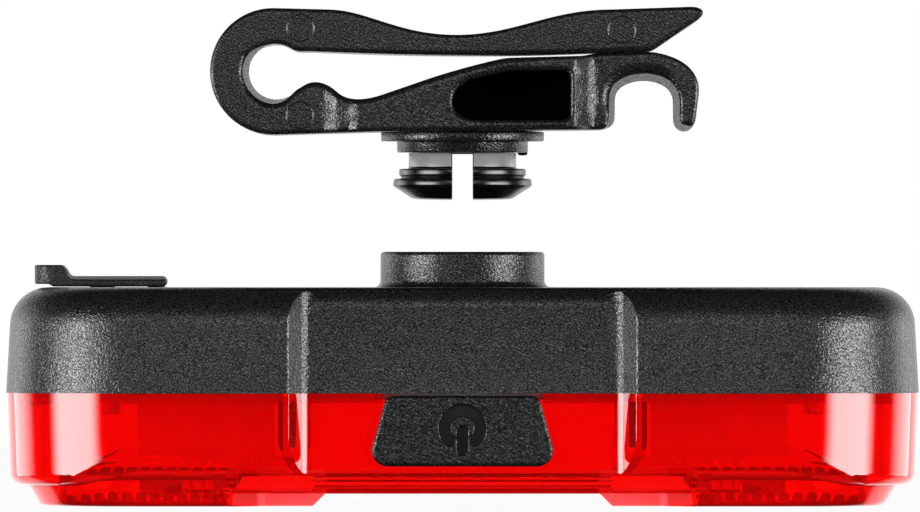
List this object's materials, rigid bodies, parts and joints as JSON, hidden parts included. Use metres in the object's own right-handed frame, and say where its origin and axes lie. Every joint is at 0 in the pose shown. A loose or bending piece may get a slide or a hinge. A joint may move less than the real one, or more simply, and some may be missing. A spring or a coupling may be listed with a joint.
{
  "type": "bicycle rear light",
  "caption": "Wide red bicycle rear light with reflector plateaus, rubber button and charging flap, and a push-in spring clip for a belt or strap.",
  "frame": {"origin": "middle of the light on the surface that its lens rests on", "axes": "+X along the light, away from the charging flap; +Y away from the button; +Z from the lens to the rear face and the clip"},
  "size_m": [0.091, 0.04, 0.0497],
  "materials": {
    "housing_plastic": "fine moulded grain",
    "lens_red": "clear red, polished",
    "seal_rubber": "translucent red, soft",
    "prism_red": "clear red prisms",
    "cup_grey": "silvered",
    "optic_clear": "clear ribbed",
    "led_phosphor": "phosphor under a dome",
    "board": "white solder mask",
    "steel": "plated",
    "chip_black": "moulded",
    "battery_foil": "foil pouch",
    "foam": "closed-cell foam",
    "flap_rubber": "matte",
    "button_rubber": "matte, fine grain",
    "switch_white": "moulded",
    "stud_plastic": "smooth moulded",
    "clip_plastic": "fine moulded grain"
  },
  "bodies": {
    "light": {"rear_housing": "housing_plastic", "lens": "lens_red", "lens_gasket": "seal_rubber", "left_reflector": "prism_red", "right_reflector": "prism_red", "left_led_cup": "cup_grey", "right_led_cup": "cup_grey", "left_optic": "optic_clear", "right_optic": "optic_clear", "leds": "led_phosphor", "circuit_board": "board", "board_screws": "steel", "control_chip": "chip_black", "power_coil": "chip_black", "battery": "battery_foil", "battery_pad": "foam", "battery_tabs": "steel", "usb_socket": "steel", "flap_anchor": "flap_rubber", "switch_body": "chip_black"},
    "button": {"button_cap": "button_rubber", "switch_plunger": "switch_white"},
    "flap": {"usb_flap": "flap_rubber"},
    "stud": {"snap_stud": "stud_plastic"},
    "clip": {"clip_base": "clip_plastic"},
    "arm": {"clip_arm": "clip_plastic"}
  },
  "joints": [
    {"name": "button_press", "type": "slide", "parent": "light", "child": "button", "axis": [0, 1, 0], "range_m": [0, 0.0006], "stiffness_N_per_m": 2500},
    {"name": "flap_open", "type": "hinge", "parent": "light", "child": "flap", "pos_m": [-0.0319, 0, 0.02285], "axis": [0, 1, 0], "range_deg": [0, 110], "stiffness_Nm_per_rad": 0.001},
    {"name": "clip_snap", "type": "slide", "parent": "light", "child": "stud", "axis": [0, 0, 1], "range_m": [-0.011, 0], "deforming": ["snap_stud"]},
    {"name": "clip_swivel", "type": "hinge", "parent": "stud", "child": "clip", "pos_m": [0, 0, 0.0363], "axis": [0, 0, 1], "range_deg": [-90, 90]},
    {"name": "arm_flex", "type": "hinge", "parent": "clip", "child": "arm", "pos_m": [-0.02517, 0, 0.04326], "axis": [0, -1, 0], "range_deg": [0, 10], "stiffness_Nm_per_rad": 4}
  ]
}
